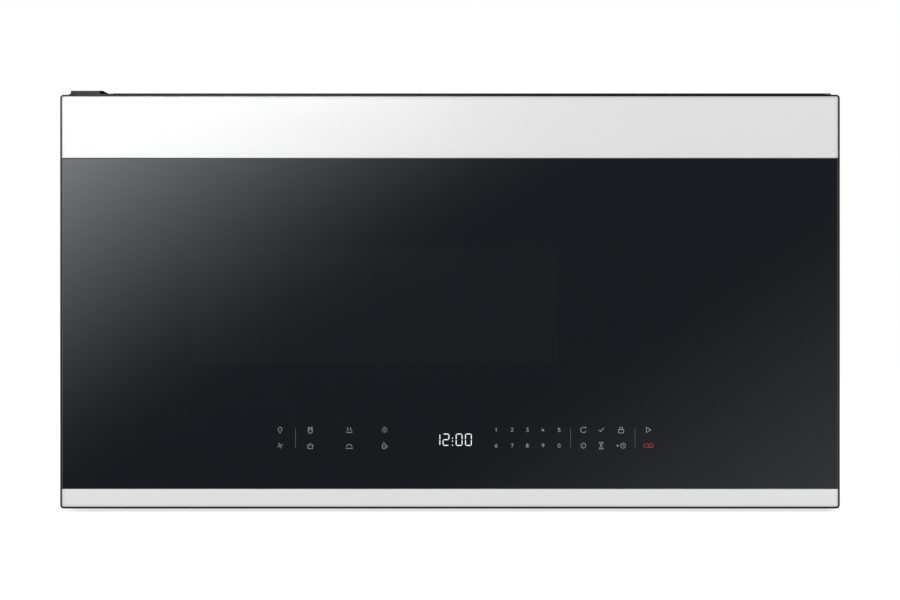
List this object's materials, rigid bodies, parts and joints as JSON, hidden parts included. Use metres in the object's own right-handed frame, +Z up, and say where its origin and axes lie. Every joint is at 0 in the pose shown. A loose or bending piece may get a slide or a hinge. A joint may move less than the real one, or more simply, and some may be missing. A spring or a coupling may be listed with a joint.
{
  "type": "over the range microwave",
  "caption": "Wide over the range microwave oven with a left-hinged full-glass door, turntable, vent blower, top grille and grease filters.",
  "frame": {"origin": "bottom centre of the bounding box, on the surface under the base panel", "axes": "+X to the right seen from the front, +Y to the back (the wall), +Z up"},
  "size_m": [0.759, 0.415, 0.411],
  "materials": {
    "case_paint": "satin powder coat",
    "plated_steel": "zinc plated sheet",
    "enamel": "oven enamel",
    "dark_plastic": "moulded, fine grain",
    "frame_metal": "dark coated metal",
    "white_glass": "back-painted white glass",
    "black_glass": "tinted black glass",
    "clear_glass": "clear glass",
    "choke_steel": "black painted steel",
    "charcoal": "charcoal pad",
    "filter_aluminium": "expanded mesh in a frame",
    "screw_steel": "plated screws",
    "natural_plastic": "natural nylon",
    "copper": "enamelled copper",
    "fin_aluminium": "pressed fins",
    "laminated_steel": "varnished laminations",
    "capacitor_can": "drawn can",
    "circuit_board": "solder mask",
    "lamp_lens": "frosted lens",
    "mica": "mica sheet",
    "display": "clock display",
    "hinge_steel": "zinc plated plate",
    "rubber": "moulded rubber"
  },
  "bodies": {
    "cabinet": {"top_panel": "case_paint", "side_panels": "case_paint", "exhaust_cover": "plated_steel", "back_panel": "plated_steel", "base_panel": "case_paint", "front_plate": "enamel", "vent_grille": "dark_plastic", "charcoal_filter": "charcoal", "mounting_nuts": "plated_steel", "cord_grommet": "rubber", "case_screws": "screw_steel", "cavity_box": "enamel", "turntable_motor": "plated_steel", "waveguide": "plated_steel", "waveguide_cover": "mica", "magnetron_yoke": "plated_steel", "magnetron_anode": "fin_aluminium", "component_shelf": "plated_steel", "transformer_core": "laminated_steel", "transformer_coils": "copper", "capacitor": "capacitor_can", "power_board": "circuit_board", "cavity_lamp": "natural_plastic", "cooling_fan_shroud": "dark_plastic", "cooling_fan_motor": "laminated_steel", "blower_housing": "plated_steel", "blower_motor": "laminated_steel", "cooktop_lamp_lenses": "lamp_lens", "cooktop_lamp_modules": "plated_steel", "upper_hinge": "hinge_steel", "lower_hinge": "hinge_steel", "hinge_cover": "dark_plastic", "latch_board": "natural_plastic", "interlock_switches": "dark_plastic"},
    "door": {"door_frame": "frame_metal", "upper_glass": "white_glass", "window_glass": "black_glass", "lower_glass": "white_glass", "choke_panel": "choke_steel", "choke_cover": "dark_plastic", "inner_pane": "clear_glass", "back_cover": "dark_plastic", "touch_board": "circuit_board", "display_module": "display", "hinge_bushes": "natural_plastic", "door_screws": "screw_steel", "latch_spring": "screw_steel"},
    "latch": {"latch_key": "natural_plastic"},
    "switch_plungers": {"switch_buttons": "natural_plastic"},
    "turntable_drive": {"turntable_shaft": "natural_plastic", "turntable_coupler": "natural_plastic"},
    "tray": {"glass_tray": "clear_glass"},
    "ring": {"roller_ring": "natural_plastic"},
    "roller_a": {"roller_1": "natural_plastic"},
    "roller_b": {"roller_2": "natural_plastic"},
    "roller_c": {"roller_3": "natural_plastic"},
    "vent_fan": {"blower_rotor": "dark_plastic"},
    "cooling_fan": {"cooling_fan_blade": "dark_plastic"},
    "left_filter": {"grease_filter_left": "filter_aluminium"},
    "right_filter": {"grease_filter_right": "filter_aluminium"}
  },
  "joints": [
    {"name": "door_swing", "type": "hinge", "parent": "cabinet", "child": "door", "pos_m": [-0.365, -0.18, 0.2], "axis": [0, 0, -1], "range_deg": [0, 95]},
    {"name": "latch_lift", "type": "slide", "parent": "door", "child": "latch", "axis": [0, 0, 1], "range_m": [0, 0.005], "stiffness_N_per_m": 500, "springref_m": -0.004, "deforming": ["latch_spring"]},
    {"name": "switch_press", "type": "slide", "parent": "cabinet", "child": "switch_plungers", "axis": [0, 1, 0], "range_m": [0, 0.0015], "stiffness_N_per_m": 600, "springref_m": -0.0005},
    {"name": "turntable_spin", "type": "hinge", "parent": "cabinet", "child": "turntable_drive", "pos_m": [-0.073, 0.01, 0.078], "axis": [0, 0, 1], "continuous": true},
    {"name": "tray_lift", "type": "slide", "parent": "turntable_drive", "child": "tray", "axis": [0, 0, 1], "range_m": [0, 0.025]},
    {"name": "ring_spin", "type": "hinge", "parent": "cabinet", "child": "ring", "pos_m": [-0.073, 0.01, 0.0743], "axis": [0, 0, 1], "continuous": true},
    {"name": "roller_spin_1", "type": "hinge", "parent": "ring", "child": "roller_a", "pos_m": [0.032, 0.01, 0.0743], "axis": [1, 0, 0], "continuous": true},
    {"name": "roller_spin_2", "type": "hinge", "parent": "ring", "child": "roller_b", "pos_m": [-0.1255, 0.10093, 0.0743], "axis": [-0.5, 0.866, 0], "continuous": true},
    {"name": "roller_spin_3", "type": "hinge", "parent": "ring", "child": "roller_c", "pos_m": [-0.1255, -0.08093, 0.0743], "axis": [-0.5, -0.866, 0], "continuous": true},
    {"name": "blower_spin", "type": "hinge", "parent": "cabinet", "child": "vent_fan", "pos_m": [-0.103, 0.148, 0.369], "axis": [1, 0, 0], "continuous": true},
    {"name": "cooling_fan_spin", "type": "hinge", "parent": "cabinet", "child": "cooling_fan", "pos_m": [0.274, 0.108, 0.275], "axis": [0, 1, 0], "continuous": true},
    {"name": "left_filter_drop", "type": "slide", "parent": "cabinet", "child": "left_filter", "axis": [0, 0, -1], "range_m": [0, 0.045]},
    {"name": "right_filter_drop", "type": "slide", "parent": "cabinet", "child": "right_filter", "axis": [0, 0, -1], "range_m": [0, 0.045]}
  ],
  "couplings": [
    {"joint": "ring_spin", "follows": "turntable_spin", "ratio": 0.5},
    {"joint": "roller_spin_1", "follows": "turntable_spin", "ratio": -7},
    {"joint": "roller_spin_2", "follows": "turntable_spin", "ratio": -7},
    {"joint": "roller_spin_3", "follows": "turntable_spin", "ratio": -7}
  ]
}
